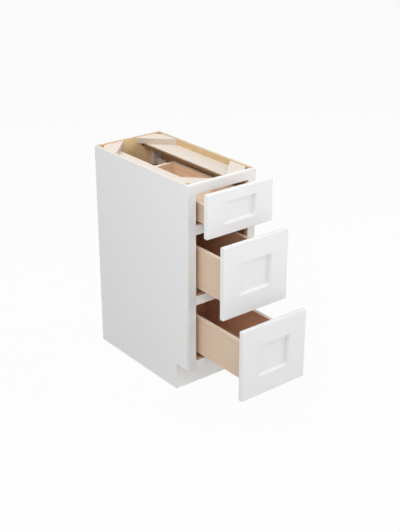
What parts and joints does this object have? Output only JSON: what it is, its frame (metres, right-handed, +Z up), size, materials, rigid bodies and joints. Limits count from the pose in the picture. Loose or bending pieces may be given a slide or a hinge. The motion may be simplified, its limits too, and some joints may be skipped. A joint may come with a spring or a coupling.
{
  "type": "base cabinet with drawers",
  "caption": "Narrow face-frame kitchen base cabinet with shaker drawer fronts, dovetailed drawer boxes on full-extension undermount slides, corner blocks and a toe recess.",
  "frame": {"origin": "middle of the back panel's outer face, at floor level", "axes": "+Z up, +Y towards the wall behind the cabinet, +X to the right of someone who faces the drawers"},
  "size_m": [0.3238, 0.9178, 0.8763],
  "materials": {
    "painted_panel": "white paint, satin",
    "painted_frame": "white paint, satin",
    "painted_face": "white paint, satin",
    "interior_plywood": "clear-coated plywood",
    "brace_wood": "bare sanded hardwood",
    "brace_plywood": "bare plywood",
    "drawer_wood": "clear-coated maple",
    "drawer_plywood": "clear-coated plywood",
    "zinc_steel": "zinc-plated sheet",
    "bracket_plastic": "moulded",
    "clip_plastic": "moulded"
  },
  "bodies": {
    "carcass": {"left_side_panel": "painted_panel", "right_side_panel": "painted_panel", "toe_kick_board": "painted_panel", "left_stile": "painted_frame", "right_stile": "painted_frame", "top_rail": "painted_frame", "upper_mid_rail": "painted_frame", "lower_mid_rail": "painted_frame", "bottom_rail": "painted_frame", "back_panel": "interior_plywood", "bottom_panel": "interior_plywood", "front_left_corner_block": "brace_wood", "front_right_corner_block": "brace_wood", "back_left_corner_block": "brace_wood", "back_right_corner_block": "brace_wood", "left_top_ledger": "brace_plywood", "right_top_ledger": "brace_plywood", "slide_tracks": "zinc_steel", "rear_slide_brackets": "bracket_plastic"},
    "top_drawer": {"top_face_left_stile": "painted_face", "top_face_right_stile": "painted_face", "top_face_top_rail": "painted_face", "top_face_bottom_rail": "painted_face", "top_face_panel": "painted_face", "top_box_left_side": "drawer_wood", "top_box_right_side": "drawer_wood", "top_box_front": "drawer_wood", "top_box_back": "drawer_wood", "top_box_bottom": "drawer_plywood", "top_slide_drawer_members": "zinc_steel", "top_slide_clips": "clip_plastic"},
    "top_slide_middle": {"top_slide_middle_members": "zinc_steel"},
    "middle_drawer": {"middle_face_left_stile": "painted_face", "middle_face_right_stile": "painted_face", "middle_face_top_rail": "painted_face", "middle_face_bottom_rail": "painted_face", "middle_face_panel": "painted_face", "middle_box_left_side": "drawer_wood", "middle_box_right_side": "drawer_wood", "middle_box_front": "drawer_wood", "middle_box_back": "drawer_wood", "middle_box_bottom": "drawer_plywood", "middle_slide_drawer_members": "zinc_steel", "middle_slide_clips": "clip_plastic"},
    "middle_slide_middle": {"middle_slide_middle_members": "zinc_steel"},
    "bottom_drawer": {"bottom_face_left_stile": "painted_face", "bottom_face_right_stile": "painted_face", "bottom_face_top_rail": "painted_face", "bottom_face_bottom_rail": "painted_face", "bottom_face_panel": "painted_face", "bottom_box_left_side": "drawer_wood", "bottom_box_right_side": "drawer_wood", "bottom_box_front": "drawer_wood", "bottom_box_back": "drawer_wood", "bottom_box_bottom": "drawer_plywood", "bottom_slide_drawer_members": "zinc_steel", "bottom_slide_clips": "clip_plastic"},
    "bottom_slide_middle": {"bottom_slide_middle_members": "zinc_steel"}
  },
  "joints": [
    {"name": "top_drawer_slide", "type": "slide", "parent": "carcass", "child": "top_drawer", "axis": [0, -1, 0], "range_m": [-0.0824, 0.4416]},
    {"name": "top_middle_member_slide", "type": "slide", "parent": "carcass", "child": "top_slide_middle", "axis": [0, -1, 0], "range_m": [-0.0412, 0.2208]},
    {"name": "middle_drawer_slide", "type": "slide", "parent": "carcass", "child": "middle_drawer", "axis": [0, -1, 0], "range_m": [-0.1758, 0.3482]},
    {"name": "middle_middle_member_slide", "type": "slide", "parent": "carcass", "child": "middle_slide_middle", "axis": [0, -1, 0], "range_m": [-0.0879, 0.1741]},
    {"name": "bottom_drawer_slide", "type": "slide", "parent": "carcass", "child": "bottom_drawer", "axis": [0, -1, 0], "range_m": [-0.2875, 0.2365]},
    {"name": "bottom_middle_member_slide", "type": "slide", "parent": "carcass", "child": "bottom_slide_middle", "axis": [0, -1, 0], "range_m": [-0.14375, 0.11825]}
  ],
  "couplings": [
    {"joint": "top_middle_member_slide", "follows": "top_drawer_slide", "ratio": 0.5},
    {"joint": "middle_middle_member_slide", "follows": "middle_drawer_slide", "ratio": 0.5},
    {"joint": "bottom_middle_member_slide", "follows": "bottom_drawer_slide", "ratio": 0.5}
  ]
}
